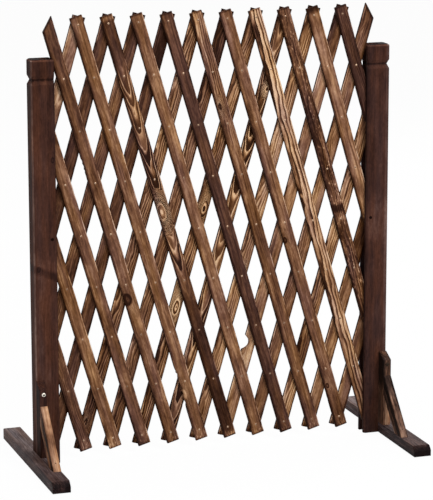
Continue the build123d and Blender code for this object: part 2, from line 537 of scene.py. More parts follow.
# Shares of a band's reach where it starts and is full, of the far margin's shift, and of the
# half width where the nose mark starts and is full. The inner strip's edge is this soft, in mm.
BAND_OUTER, BAND_INNER, FAR_MARGIN_SHARE, NOSE_OUTER, NOSE_INNER = 1.15, 0.3, 0.8, 0.3, 0.5
INNER_SOFT = 1.2


@dataclass(frozen=True)
class CharredWood(Finish):
    """Burnt and brushed softwood whose grain runs along one board.

    Attributes:
        name: Name of the material.
        start: The point from which the board's places are counted, in metres.
        run: Direction of the grain.
        across: Direction across the board.
        faces: Shifts of the tone on its faces.
        burn: Its tone, from 0, black, to 1, pale.
        tone: Its colours.
        grain: Its cut.
        seed: Number that sets its patterns apart.
        blotch: Strength of the clouds in its tone.
        warmth: From 0, cool, to 1, warm.
        fade: Shift of the tone for each 400 mm along it.
        knots: Its knots.
        bands: Its darker and paler stretches.
        nail_pitch: Distance between the nails that stain it, or 0.
        roughness: Roughness of its surface.
        gloss: Strength of its sheen.
        lively: Start and end of the stretch that shows the rings.
    """

    name: str
    start: Point
    run: Point
    across: Point
    faces: Faces
    burn: float
    tone: Tone = Tone.PINE
    grain: Grain = Grain.PLAIN
    seed: float = 0.0
    blotch: float = 0.3
    warmth: float = 0.5
    fade: float = 0.0
    knots: Tuple[Knot, ...] = ()
    bands: Tuple[Band, ...] = ()
    nail_pitch: float = 0.0
    roughness: float = 0.6
    gloss: float = 0.05
    lively: Optional[Tuple[float, float]] = None

    def layers(self, graph: Graph) -> Dict[str, Value]:
        """Mixes the board's colour, roughness, relief and gloss.

        Args:
            graph: The material's graph.

        Returns:
            Wires and values for the shader's inputs, by name.
        """
        tint, relief = self._wood(self._point(graph))
        return {
            "Base Color": tint, "Roughness": self.roughness - RELIEF_POLISH * (relief - 0.5),
            "Normal": graph.bump(relief, RELIEF_STRENGTH, RELIEF_HEIGHT), "Specular IOR Level": self.gloss}

    def _point(self, graph: Graph) -> BoardPoint:
        """Turns the shaded point into the board's own directions.

        Args:
            graph: The material's graph.

        Returns:
            The point.
        """
        run, across = Vector(self.run), Vector(self.across)
        turn = Matrix((run, across.cross(run), across))
        shift = turn @ Vector(self.start)
        place = graph.node("ShaderNodeTexCoord", None, None, "Object")
        along, depth, aside = graph.split(graph.node("ShaderNodeMapping", {"vector_type": "POINT"}, {
            "Vector": place, "Scale": (1 / MM,) * 3, "Rotation": turn.to_euler(), "Location": -shift / MM}))
        return BoardPoint(graph, along, depth, aside, aside + depth * RING_SLANT, self.seed * SEED_OFFSET)

    def _wood(self, point: BoardPoint) -> Tuple[Wire, Wire]:
        """Mixes the grain.

        Args:
            point: The shaded point.

        Returns:
            The colour and the relief.
        """
        graph, cut = point.graph, self.grain.value
        wander, ripple = point.pattern(Pattern.WANDER), point.pattern(Pattern.RIPPLE)
        streak, fibre = point.pattern(Pattern.STREAK), point.pattern(Pattern.FIBRE)
        cloud, mottle = point.pattern(Pattern.CLOUD), point.pattern(Pattern.MOTTLE)
        rings = (point.slant * cut.run + point.across * point.across * (cut.bow / BOW_REACH)
                 + point.along * cut.taper + wander * RING_WANDER + ripple * RING_RIPPLE)
        rings, core, whorl = self._knotted(point, rings, wander, ripple)
        late = self._late_wood(graph, rings / cut.ring + point.offset, point.offset)
        figure = (cut.mean_late - late) * cut.contrast * (1.0 + whorl * WHORL_SHARE)
        if self.lively:
            figure = figure * Edge.LIVELY_START.reached(point.along, self.lively[0])
            figure = figure * Edge.LIVELY_END.reached(point.along, self.lively[1])
        shade = self.burn + self.fade * point.along / FADE_REACH + figure
        if cut.flecks:
            shade = shade + graph.step(mottle, *FLECKS) * cut.flecks
        shade = shade + streak * (STREAK_SHARE * cut.streaks) + (fibre + mottle) * FIBRE_SHARE
        shade = shade + cloud * (CLOUD_SHARE * self.blotch) - core * CORE_SHARE + self._shift(point, ripple)
        warm = point.pattern(Pattern.WARMTH) * WARMTH_SWING
        # The pale front corner: wear, and a painted highlight on the corner that faces the light.
        if self.faces.corner:
            worn = self._worn_corner(point)
            shade = shade + worn * self.faces.corner
            warm = warm - worn * self.faces.corner_cool
        warm = graph.math("ADD", warm, self.warmth, clamp=True)
        cool_ramp, warm_ramp = (
            graph.node("ShaderNodeValToRGB", {"stops": list(zip(TONE_STOPS, colours))}, {"Fac": shade})
            for colours in self.tone.value)
        relief = 0.5 + late * LATE_RELIEF + (fibre + streak) * FIBRE_RELIEF - core * CORE_RELIEF
        return graph.blend(warm, cool_ramp, warm_ramp), relief

    def _knotted(self, point: BoardPoint, rings: Wire, wander: Wire,
                 ripple: Wire) -> Tuple[Wire, Value, Value]:
        """Bends the rings round the knots.

        Args:
            point: The shaded point.
            rings: Distance through the straight rings in mm.
            wander: The slow pattern that rings follow.
            ripple: The quick pattern that edges follow.

        Returns:
            The bent rings, the knots' cores, and how near a knot the point is.
        """
        core: Value = 0.0
        whorl: Value = 0.0
        for knot in self.knots:
            apart = point.graph.distance((point.along - knot.along) * knot.oval, point.across - knot.across)
            apart = apart + ripple * KNOT_RIPPLE
            near = knot.zone(KnotZone.RINGS, apart)
            rings = rings * (1.0 - near) + (apart + wander * KNOT_WANDER + knot.along) * near
            whorl = whorl + near
            heart = 1.0 - 0.5 * knot.zone(KnotZone.HEART, apart)
            core = core + knot.zone(KnotZone.RIM, apart) * heart * knot.dark
        return rings, core, whorl

    def _late_wood(self, graph: Graph, turns: Wire, offset: float) -> Wire:
        """Dark late wood of each ring, stronger in some rings than in others.

        Args:
            graph: The material's graph.
            turns: Count of rings at the point.
            offset: The board's own shift.

        Returns:
            From 0 in early wood to about 1 in late wood.
        """
        phase, onset = graph.math("FRACT", turns), self.grain.value.onset
        pick = graph.node("ShaderNodeTexWhiteNoise", {"noise_dimensions": "1D"},
                          {"W": graph.math("FLOOR", turns) + offset}, "Value")
        late = graph.step(phase, onset - LATE_SPREAD, onset + LATE_SPREAD)
        return late * graph.step(phase, 1.0, LATE_BREAK) * (pick * LATE_VARIES + LATE_LEAST)

    def _worn_corner(self, point: BoardPoint) -> Wire:
        """Finds the front corner that is pale from wear by hands and weather and from a painted highlight
        where it faces the light.

        Args:
            point: The shaded point.

        Returns:
            1 on that corner, 0 elsewhere.
        """
        face = self.faces
        edge = point.across * face.upper if face.upper else abs(point.across)
        worn = (Edge.CORNER.reached(edge, face.half_width - face.corner_width)
                * Edge.CORNER_FRONT.reached(-point.depth, face.half_depth - face.corner_depth))
        if face.broken:
            worn = worn * point.graph.step(self._patches(point), *WORN_PATCHES)
        return worn

    def _patches(self, point: BoardPoint) -> Wire:
        """Noise of 0 to 1 that breaks the pale corners and the rubbing into patches."""
        length, width = PATCH_SIZE
        return point.graph.noise(point.along / length, point.across / width, self.seed, 3.0)

    def _shift(self, point: BoardPoint, ripple: Wire) -> Wire:
        """Char, wear, and painted light and shade that depend on the face, the bands, the nails and the
        ends.

        Args:
            point: The shaded point.
            ripple: The quick pattern that edges follow.

        Returns:
            Shift of the tone.
        """
        graph, face = point.graph, self.faces
        wide, deep, across = face.half_width, face.half_depth, point.across
        # The narrow sides: darker with char and painted shade.
        over = Edge.SIDE.reached(abs(across), wide)
        shift = over * (1.0 - Edge.FACE.reached(abs(point.depth), deep)) * face.sides
        # Painted light on the back, which on the foot is its top.
        if face.back:
            shift = shift + Edge.BACK.reached(point.depth, deep) * face.back
        # Darker margins along both edges: char, and on the slats painted shade along the lower edge.
        if face.margin:
            near = Edge.MARGIN.reached(across * -face.upper + ripple * MARGIN_STRAY, wide)
            far = Edge.FAR_MARGIN.reached(across * face.upper + ripple * FAR_MARGIN_STRAY, wide)
            shift = shift + near * face.margin + far * (FAR_MARGIN_SHARE * face.margin)
        if face.rubbed:
            worn = Edge.RUBBED.reached(across * -face.upper + ripple * RUBBED_STRAY, wide)
            worn = worn * Edge.RUBBED_FRONT.reached(-point.depth, deep)
            worn = worn * graph.step(self._patches(point), *WHOLE_PATCHES)
            shift = shift + worn * face.rubbed * graph.step(point.along, *RUBBED_STRETCH)
        if face.inner:
            toward = 1.0 if face.inner_from > 0 else -1.0
            place = (across - face.inner_from) * toward + ripple * INNER_STRAY
            shift = shift + graph.step(place, -INNER_SOFT, INNER_SOFT) * face.inner
        for band in self.bands:
            apart = abs(point.along - across * band.slant - band.along) + ripple * (BAND_STRAY * band.reach)
            shift = shift + graph.step(apart, BAND_OUTER * band.reach, BAND_INNER * band.reach) * band.shift
        # Painted shade on the lower half of the sides, darker towards the ground.
        if face.ground_shade:
            shift = shift + graph.step(-point.depth, 0.0, deep - 1.0) * over * face.ground_shade
        if self.nail_pitch:
            phase = graph.math("FRACT", point.along / self.nail_pitch + 0.5) - 0.5
            apart = graph.distance(phase * self.nail_pitch, across)
            shift = shift + graph.step(apart + ripple * SPOT_STRAY, *STAIN_REACH) * STAIN
        return shift + self._at_ends(point, ripple)

    def _at_ends(self, point: BoardPoint, ripple: Wire) -> Wire:
        """Char and splinters at the ends of the board, and painted shade on one edge of the first end.

        Args:
            point: The shaded point.
            ripple: The quick pattern that edges follow.

        Returns:
            Shift of the tone.
        """
        graph, face = point.graph, self.faces
        tip = point.along - face.low
        if face.mitre:
            tip = tip - (face.half_width - point.across * face.mitre)
        inside = graph.math("MINIMUM", tip, face.high - point.along) + ripple * (END_STRAY * face.end_reach)
        shift = graph.step(inside, face.end_reach, 0.3) * face.ends
        # Painted shade on one edge of the first end, where a bevel faces away from the light.
        if face.nose:
            aside = point.across + ripple * SPOT_STRAY
            edge = graph.step(aside, NOSE_OUTER * face.half_width, NOSE_INNER * face.half_width)
            shift = shift + Edge.NOSE.reached(-point.along, -face.low) * edge * face.nose
        if face.frayed:
            length, width = SPLINTER_SIZE
            torn = graph.noise(point.along / length + self.seed, point.across / width, self.seed)
            torn = graph.step(torn, *SPLINTERED) * Edge.FRAYED.reached(point.along, face.high)
            shift = shift + torn * face.frayed
        return shift


# Share of spots and of whole heads in the tarnish, and its level where it starts and is full.
SPOT_SHARE, HEAD_SHARE, TARNISHED = 0.6, 0.8, (0.55, 0.95)
# How much rougher the tarnish is, and the bump of its spots.
TARNISH_ROUGHNESS, SPOT_STRENGTH, SPOT_HEIGHT = 0.25, 0.4, 0.2 * MM


@dataclass(frozen=True)
class Steel(Finish):
    """Zinc plated wire and screw steel, dulled by the flame.

    Attributes:
        name: Name of the material.
        tint: The bright metal.
        tarnish: The dull metal.
        roughness: Roughness of the bright metal.
        spot: Size of a spot of tarnish in metres.
        recess: Middle of a screw's recess, around which the metal is darker, in metres.
        head_spacing: Distance over which tarnish changes from head to head.
        recess_reach: Outer and inner reach of the darker colour.
        dirt: The darker colour in and around the recess.
    """

    name: str
    tint: Colour
    tarnish: Colour
    roughness: float = 0.4
    spot: float = 0.002
    recess: Optional[Point] = None
    head_spacing: float = 0.05
    recess_reach: Tuple[float, float] = (0.0024, 0.0017)
    dirt: Colour = paint(30, 24, 20)

    def layers(self, graph: Graph) -> Dict[str, Value]:
        """Mixes the metal's colour, roughness and relief, with a tarnish that differs by head.

        Args:
            graph: The material's graph.

        Returns:
            Wires and values for the shader's inputs, by name.
        """
        x, y, z = graph.split(graph.node("ShaderNodeTexCoord", None, None, "Object"))
        spots = graph.noise(x / self.spot, y / self.spot, z / self.spot, 2.0, 0.6)
        heads = graph.noise(x / self.head_spacing, y / self.head_spacing, z / self.head_spacing, 1.0)
        dull = graph.step(spots * SPOT_SHARE + heads * HEAD_SHARE, *TARNISHED)
        tint = graph.blend(dull, self.tint, self.tarnish)
        if self.recess:
            # Darker in and around the screw's recess.
            apart = graph.distance(x - self.recess[0], z - self.recess[2])
            tint = graph.blend(graph.step(apart, *self.recess_reach), tint, self.dirt)
        return {"Base Color": tint, "Roughness": self.roughness + dull * TARNISH_ROUGHNESS,
                "Normal": graph.bump(spots, SPOT_STRENGTH, SPOT_HEIGHT), "Metallic": 1.0}


NAIL_STEEL = Steel("nail_steel", paint(180, 152, 128), paint(98, 72, 56))
SCREW_STEEL = Steel(
    "screw_steel", paint(232, 226, 214), paint(170, 158, 144), 0.3, 0.004, recess=(-0.38394, 0.0, 0.159))
BURNT_STEEL = Steel("burnt_steel", paint(60, 48, 40), paint(34, 26, 22), 0.6, 0.003)
SOOTY_STEEL = Steel("sooty_steel", paint(30, 17, 13), paint(18, 11, 9), 0.75, 0.003)


class MeshTree:
    """A geometry tree with named inputs that makes one mesh."""

    def __init__(self, name: str, inputs: Dict[str, str]) -> None:
        """Makes the tree's sockets.

        Args:
            name: The tree's name.
            inputs: Socket type of each named input.
        """
        self.tree = bpy.data.node_groups.new(name, "GeometryNodeTree")
        face = self.tree.interface
        face.new_socket("Geometry", in_out="OUTPUT", socket_type="NodeSocketGeometry")
        for label, kind in inputs.items():
            face.new_socket(label, in_out="INPUT", socket_type=kind)
        self.graph = Graph(self.tree)
        self.source = self.tree.nodes.new("NodeGroupInput")

    def get(self, label: str) -> Wire:
        """The wire of a named input."""
        return Wire(self.graph, self.source.outputs[label])

    def close(self, geometry: Wire) -> None:
        """Ends the tree in real geometry that wears the input material.

        Args:
            geometry: The finished shape.
        """
        real = self.graph.node("GeometryNodeRealizeInstances", None, {0: geometry})
        dressed = self.graph.node("GeometryNodeSetMaterial", None, {
            "Geometry": real, "Material": self.get("Material")})
        end = self.tree.nodes.new("NodeGroupOutput")
        self.tree.links.new(dressed.socket, end.inputs[0])

    def make(self, name: str, **values: Any) -> bpy.types.Object:
        """Evaluates the tree into a plain mesh object at the origin.

        Args:
            name: Name of the new piece.
            values: Inputs by name, with underscores for spaces.

        Returns:
            The new object, with no modifier left.
        """
        carrier = put(name + "_tree", bpy.data.meshes.new(name + "_seed"))
        modifier = carrier.modifiers.new("shape", "NODES")
        modifier.node_group = self.tree
        items = self.tree.interface.items_tree
        marks = {item.name: item.identifier for item in items if item.in_out == "INPUT"}
        for label, value in values.items():
            modifier[marks[label.replace("_", " ")]] = value
        ready = carrier.evaluated_get(bpy.context.evaluated_depsgraph_get())
        mesh = bpy.data.meshes.new_from_object(ready)
        mesh.name = name
        bpy.data.objects.remove(carrier)
        return put(name, mesh)


# Metres between the rings of points along a slat, and sizes of the worn spots, the splinters and
# the stretches of edge that have them.
SAMPLE = 0.004
WEAR_LENGTH, WEAR_WIDTH = 0.02, 0.012
SPLINTER, SPLINTER_DEPTH, STRETCH = 0.009, 0.01, 0.07
BITE_RIPPLE = 0.005
# Levels of noise at which wear, splinters, their stretches and torn edges start and are full.
WORN, SPLINTERS, STRETCHES, RAGGED = (0.46, 0.8), (0.42, 0.7), (0.5, 0.66), (0.3, 0.62)
# Shares of the width where an edge starts and is full, and of a torn stretch where it fades in.
NEAR_EDGE, TORN_STRETCH = (0.36, 0.46), (1.0, 0.6)
# What sets the noises of the left and the right edge apart.
SPLINTER_SIDE, STRETCH_SIDE = 9.0, 5.0


class SlatTree(MeshTree):
    """Sawn batten with softened edges, worn and chipped a little unevenly."""

    def __init__(self) -> None:
        """Builds the tree."""
        super().__init__("Slat", {
            "Length": FLOAT, "Width": FLOAT, "Thickness": FLOAT, "Round": FLOAT, "Mitre": FLOAT,
            "Wear": FLOAT, "Chip": FLOAT, "Bite": VECTOR, "Torn": VECTOR, "Seed": FLOAT, "Turn": FLOAT,
            "Place": VECTOR, "Material": FINISH})
        graph = self.graph
        length = self.get("Length")
        spine = graph.node("GeometryNodeCurvePrimitiveLine", {"mode": "POINTS"}, {
            "Start": (0.0, 0.0, 0.0), "End": graph.vector(0.0, 0.0, -length)}, "Curve")
        count = graph.math("CEIL", length / SAMPLE) + 1.0
        spine = graph.node("GeometryNodeResampleCurve", None, {"Curve": spine, "Count": count})
        outline = graph.node("GeometryNodeCurvePrimitiveQuadrilateral", None, {
            "Width": self.get("Width"), "Height": self.get("Thickness")})
        outline = graph.node("GeometryNodeFilletCurve", {"mode": "POLY"}, {
            "Curve": outline, "Count": 2, "Radius": self.get("Round")})
        body = graph.node("GeometryNodeCurveToMesh", None, {
            "Curve": spine, "Profile Curve": outline, "Fill Caps": True})
        body = self._mitred(self._chipped(self._worn(body)), length)
        self.close(graph.node("GeometryNodeTransform", None, {
            "Geometry": body, "Rotation": graph.vector(0.0, self.get("Turn"), 0.0),
            "Translation": self.get("Place")}))

    def _moved(self, body: Wire, offset: Wire) -> Wire:
        """Moves each point of the body by its offset."""
        return self.graph.node("GeometryNodeSetPosition", None, {"Geometry": body, "Offset": offset})

    def _position(self) -> Tuple[Wire, Wire, Wire]:
        """Place of each point of the body."""
        return self.graph.split(self.graph.node("GeometryNodeInputPosition"))

    def _worn(self, body: Wire) -> Wire:
        """Sinks the surface by uneven wear, never outwards.

        Args:
            body: The sawn batten.

        Returns:
            The worn batten.
        """
        graph, seed = self.graph, self.get("Seed")
        x, y, z = self._position()
        spots = graph.noise(x / WEAR_WIDTH + seed, y / WEAR_WIDTH, z / WEAR_LENGTH + seed, 3.0, 0.6)
        inward = -(graph.step(spots, *WORN) * self.get("Wear"))
        return self._moved(body, graph.node("ShaderNodeVectorMath", {"operation": "SCALE"}, {
            0: graph.node("GeometryNodeInputNormal"), "Scale": inward}))

    def _chipped(self, body: Wire) -> Wire:
        """Breaks splinters off both edges, and one bite where a knot fell out of the left edge.

        Args:
            body: The worn batten.

        Returns:
            The chipped batten.
        """
        graph, seed = self.graph, self.get("Seed")
        x, y, z = self._position()
        edge = graph.step(abs(x) / self.get("Width"), *NEAR_EDGE)
        which, left = graph.math("SIGN", x), graph.math("LESS_THAN", x, 0.0)
        torn = graph.noise(z / SPLINTER + seed, which * SPLINTER_SIDE, y / SPLINTER_DEPTH)
        rare = graph.noise(z / STRETCH - seed, which * STRETCH_SIDE, 0.0, 1.0)
        chip = graph.step(torn, *SPLINTERS) * graph.step(rare, *STRETCHES) * self.get("Chip") * edge
        middle, half, deep = graph.split(self.get("Torn"))
        stretch = graph.step(abs(z + middle) / (half + 0.1 * MM), *TORN_STRETCH)
        ragged = stretch * graph.step(torn, *RAGGED) * deep
        chip = chip + ragged * edge * left
        along, across, radius = graph.split(self.get("Bite"))
        apart = z + along + (torn - 0.5) * BITE_RIPPLE
        reach = graph.math("SQRT", graph.math("MAXIMUM", radius * radius - apart * apart, 0.0))
        bite = graph.math("MAXIMUM", across + reach - x, 0.0) * graph.math("GREATER_THAN", reach, 0.0) * left
        return self._moved(body, graph.vector(bite - chip * which, 0.0, 0.0))

    def _mitred(self, body: Wire, length: Wire) -> Wire:
        """Slides the upper end to the saw cut, in proportion down the batten.

        Args:
            body: The chipped batten.
            length: Its length.

        Returns:
            The batten with its pointed end.
        """
        x, _, z = self._position()
        mitre = self.get("Mitre")
        drop = (self.get("Width") / 2.0 * abs(mitre) - x * mitre) * (1.0 + z / length)
        return self._moved(body, self.graph.vector(0.0, 0.0, -drop))


DOME_SIDES, DOME_RINGS, SHANK_SIDES = 12, 8, 10
# Height of a tail as a share of the head's, and how far nails lean and turn, in radians.
TAIL_RISE = 0.7
NAIL_TILT, NAIL_TURN = 0.16, 3.1


class NailTree(MeshTree):
    """A row of clinched nails: domed heads in front, shanks, and spread tails behind."""

    def __init__(self) -> None:
        """Builds the tree."""
        super().__init__("Nail row", {
            "Count": WHOLE, "Start": VECTOR, "Step": VECTOR, "Head": FLOAT, "Rise": FLOAT, "Shank": FLOAT,
            "Depth": FLOAT, "Tail": FLOAT, "Seed": WHOLE, "Material": FINISH})
        graph = self.graph
        row = graph.node("GeometryNodeMeshLine", {"mode": "OFFSET"}, {
            "Count": self.get("Count"), "Start Location": self.get("Start"), "Offset": self.get("Step")})
        points = graph.node("GeometryNodeMeshToPoints", None, {"Mesh": row})
        head = self._dome(self.get("Head"), self.get("Rise"), 0.0)
        tail = self._dome(self.get("Tail"), self.get("Rise") * TAIL_RISE, self.get("Depth"))
        stem = graph.node("GeometryNodeMeshCylinder", None, {
            "Vertices": SHANK_SIDES, "Radius": self.get("Shank"), "Depth": self.get("Depth")}, "Mesh")
        stem = graph.node("GeometryNodeTransform", None, {
            "Geometry": stem, "Rotation": (math.pi / 2, 0.0, 0.0),
            "Translation": graph.vector(0.0, self.get("Depth") / 2.0, 0.0)})
        join = graph.tree.nodes.new("GeometryNodeJoinGeometry")
        for part in (stem, tail, head):
            graph.tree.links.new(part.socket, join.inputs[0])
        turn = graph.node("FunctionNodeRandomValue", {"data_type": "FLOAT_VECTOR"}, {
            0: (-NAIL_TILT, -NAIL_TURN, -NAIL_TILT), 1: (NAIL_TILT, NAIL_TURN, NAIL_TILT),
            "Seed": self.get("Seed")})
        row = graph.node("GeometryNodeInstanceOnPoints", None, {
            "Points": points, "Instance": Wire(graph, join.outputs[0]), "Rotation": turn})
        real = graph.node("GeometryNodeRealizeInstances", None, {0: row})
        self.close(graph.node("GeometryNodeSetShadeSmooth", None, {"Geometry": real}))

    def _dome(self, radius: Wire, rise: Wire, depth: Value) -> Wire:
        """Flattens a ball.

        Args:
            radius: Its radius.
            rise: Half of its height.
            depth: Depth of its middle behind the front face.

        Returns:
            The dome.
        """
        graph = self.graph
        ball = graph.node("GeometryNodeMeshUVSphere", None, {
            "Segments": DOME_SIDES, "Rings": DOME_RINGS, "Radius": 1.0}, "Mesh")
        return graph.node("GeometryNodeTransform", None, {
            "Geometry": ball, "Scale": graph.vector(radius, rise, radius),
            "Translation": graph.vector(0.0, depth, 0.0)})


@dataclass(frozen=True)
class SlatLook:
    """What one slat looks like. Places are in mm from its upper end crossing.

    Attributes:
        burn: How burnt it is.
        grain: Its cut.
        warmth: From 0, cool, to 1, warm.
        blotch: Strength of the clouds in its tone.
        fade: Shift of the tone for each 400 mm down the slat.
        knots: Its knots.
        bands: Its darker and paler stretches.
        chip: How deep splinters are broken off its edges.
        bite: Place along, place across and radius of a fallen knot.
        torn: Place along, half length and depth of a torn edge.
        rubbed: Shift on the worn patches of its second corner.
        lively: Start and end of the stretch that shows the rings.
    """

    burn: Burn
    grain: Grain = Grain.PLAIN
    warmth: float = 0.5
    blotch: float = 0.3
    fade: float = 0.0
    knots: Tuple[Knot, ...] = ()
    bands: Tuple[Band, ...] = ()
    chip: float = 0.6
    bite: Point = (0.0, 0.0, 0.0)
    torn: Point = (0.0, 0.0, 0.0)
    rubbed: float = 0.0
    lively: Optional[Tuple[float, float]] = None


FRONT_LOOKS: Dict[int, SlatLook] = {
    1: SlatLook(Burn.UMBER, Grain.FINE, warmth=0.1),
    2: SlatLook(Burn.BROWN, warmth=0.62, fade=0.06, bands=(Band(-10.0, 70.0, -0.25),), rubbed=0.5),
    3: SlatLook(
        Burn.MID, warmth=0.42, blotch=0.36, fade=-0.07,
        bands=(Band(-10.0, 60.0, -0.28), Band(925.0, 14.0, 0.12))),
    4: SlatLook(
        Burn.UMBER, warmth=0.42, blotch=0.32, fade=0.06, knots=(Knot(604.0, -6.0, 8.5, 1.3),),
        bands=(Band(60.0, 160.0, -0.08), Band(560.0, 40.0, 0.12), Band(670.0, 60.0, 0.06),
               Band(900.0, 70.0, -0.1)),
        torn=(300.0, 16.0, 3.0)),
    5: SlatLook(
        Burn.BROWN, warmth=0.52, fade=0.01, knots=(Knot(829.0, -9.0, 5.0, -0.6),), chip=0.8,
        torn=(829.0, 50.0, 3.5), rubbed=0.3),
    6: SlatLook(
        Burn.UMBER, Grain.FLAME, warmth=0.4, fade=-0.07, knots=(Knot(414.6, -5.2, 6.5, -0.6),),
        bands=(Band(-12.0, 9.0, 0.3), Band(20.0, 90.0, -0.2), Band(200.0, 60.0, -0.06),
               Band(790.0, 190.0, -0.11), Band(935.0, 12.0, 0.2)),
        lively=(110.0, 560.0)),
    7: SlatLook(Burn.MID, warmth=0.52, bands=(Band(-10.0, 60.0, -0.1), Band(900.0, 90.0, -0.08))),
    8: SlatLook(Burn.DARK, warmth=0.08, blotch=0.24, fade=-0.02, bands=(Band(-10.0, 80.0, 0.08),)),
    9: SlatLook(
        Burn.BROWN, Grain.STREAKED, blotch=0.34, fade=-0.03, knots=(Knot(190.0, -6.0, 3.5, -0.5),),
        bands=(Band(-10.0, 60.0, 0.12),), lively=(-100.0, 250.0)),
    10: SlatLook(
        Burn.MID, warmth=0.52, fade=-0.02,
        knots=(Knot(495.5, -9.7, 4.6, 1.6), Knot(839.7, -6.4, 3.8, 1.4)),
        bands=(Band(910.0, 60.0, -0.14),)),
    11: SlatLook(
        Burn.PALE, Grain.STRIPED, warmth=0.6, fade=-0.06,
        bands=(Band(180.0, 90.0, 0.06), Band(860.0, 110.0, -0.12))),
    12: SlatLook(
        Burn.DARK, Grain.FLECKED, blotch=0.5, fade=-0.01,
        bands=(Band(210.0, 130.0, -0.12), Band(434.0, 11.0, -0.5, 0.2), Band(458.0, 9.0, 0.16))),
    13: SlatLook(
        Burn.HONEY, warmth=0.46, blotch=0.34, fade=-0.04,
        bands=(Band(-16.0, 13.0, -0.5), Band(10.0, 40.0, -0.12), Band(760.0, 90.0, -0.09),
               Band(900.0, 80.0, -0.2))),
    14: SlatLook(Burn.BLACK, Grain.FINE, warmth=0.02, blotch=0.2, bands=(Band(30.0, 60.0, 0.06),)),
}

REAR_LOOKS: Dict[int, SlatLook] = {
    1: SlatLook(Burn.PALE, warmth=0.28, blotch=0.34, fade=-0.12, knots=(Knot(154.0, 4.5, 7.0, -0.6),)),
    2: SlatLook(Burn.DARK, warmth=0.25, fade=-0.1),
    3: SlatLook(Burn.UMBER, Grain.FINE, warmth=0.52, fade=-0.03, bands=(Band(0.0, 60.0, -0.17),)),
    4: SlatLook(Burn.DARK, warmth=0.42, fade=0.02, bands=(Band(20.0, 150.0, -0.34),)),
    5: SlatLook(
        Burn.MID, Grain.STREAKED, warmth=0.62, fade=-0.05, knots=(Knot(877.8, -4.5, 3.6, -0.1),),
        bands=(Band(-10.0, 90.0, -0.14), Band(870.0, 130.0, -0.16))),
    6: SlatLook(
        Burn.UMBER, Grain.STREAKED, warmth=0.52, fade=0.02,
        bands=(Band(0.0, 170.0, -0.36), Band(910.0, 80.0, -0.16))),
    7: SlatLook(
        Burn.BROWN, Grain.STREAKED, warmth=0.85, blotch=0.36,
        knots=(Knot(633.2, 1.0, 8.0, -0.2), Knot(417.1, 3.0, 7.5, -0.15)),
        bands=(Band(-10.0, 100.0, -0.26), Band(900.0, 90.0, -0.12))),
    8: SlatLook(
        Burn.UMBER, Grain.FLAME, warmth=0.65, blotch=0.36, knots=(Knot(157.5, 5.9, 4.0),),
        bands=(Band(-10.0, 90.0, -0.34), Band(390.0, 110.0, 0.14), Band(900.0, 90.0, -0.14))),
    9: SlatLook(
        Burn.HONEY, Grain.STREAKED, warmth=0.75, fade=-0.03, knots=(Knot(560.0, 3.0, 4.5),),
        bands=(Band(-10.0, 70.0, -0.28), Band(340.0, 130.0, 0.12))),
    10: SlatLook(
        Burn.HONEY, warmth=0.52, blotch=0.34, fade=0.02, knots=(Knot(745.0, -14.0, 9.0, 0.8),),
        bands=(Band(-10.0, 110.0, -0.36), Band(200.0, 80.0, 0.06), Band(520.0, 90.0, -0.12),
               Band(780.0, 90.0, 0.16)),
        bite=(747.0, -15.0, 14.0)),
    11: SlatLook(
        Burn.MID, Grain.FINE, warmth=0.52, blotch=0.34, fade=-0.04,
        bands=(Band(-10.0, 80.0, -0.24), Band(380.0, 120.0, 0.1))),
    12: SlatLook(
        Burn.MID, Grain.STREAKED, warmth=0.75, blotch=0.36,
        bands=(Band(-10.0, 70.0, -0.26), Band(180.0, 60.0, 0.06), Band(530.0, 50.0, -0.14),
               Band(650.0, 44.0, 0.1))),
    13: SlatLook(Burn.MID, warmth=0.87, bands=(Band(10.0, 110.0, -0.44),)),
    14: SlatLook(Burn.BROWN, warmth=0.52, bands=(Band(220.0, 60.0, 0.12),)),
}


class Layer(Enum):
    """The two layers of slats. The value is the way that their lower ends lean."""

    FRONT = 1
    REAR = -1

    @property
    def word(self) -> str:
        """The layer's word in names."""
        return self.name.lower()


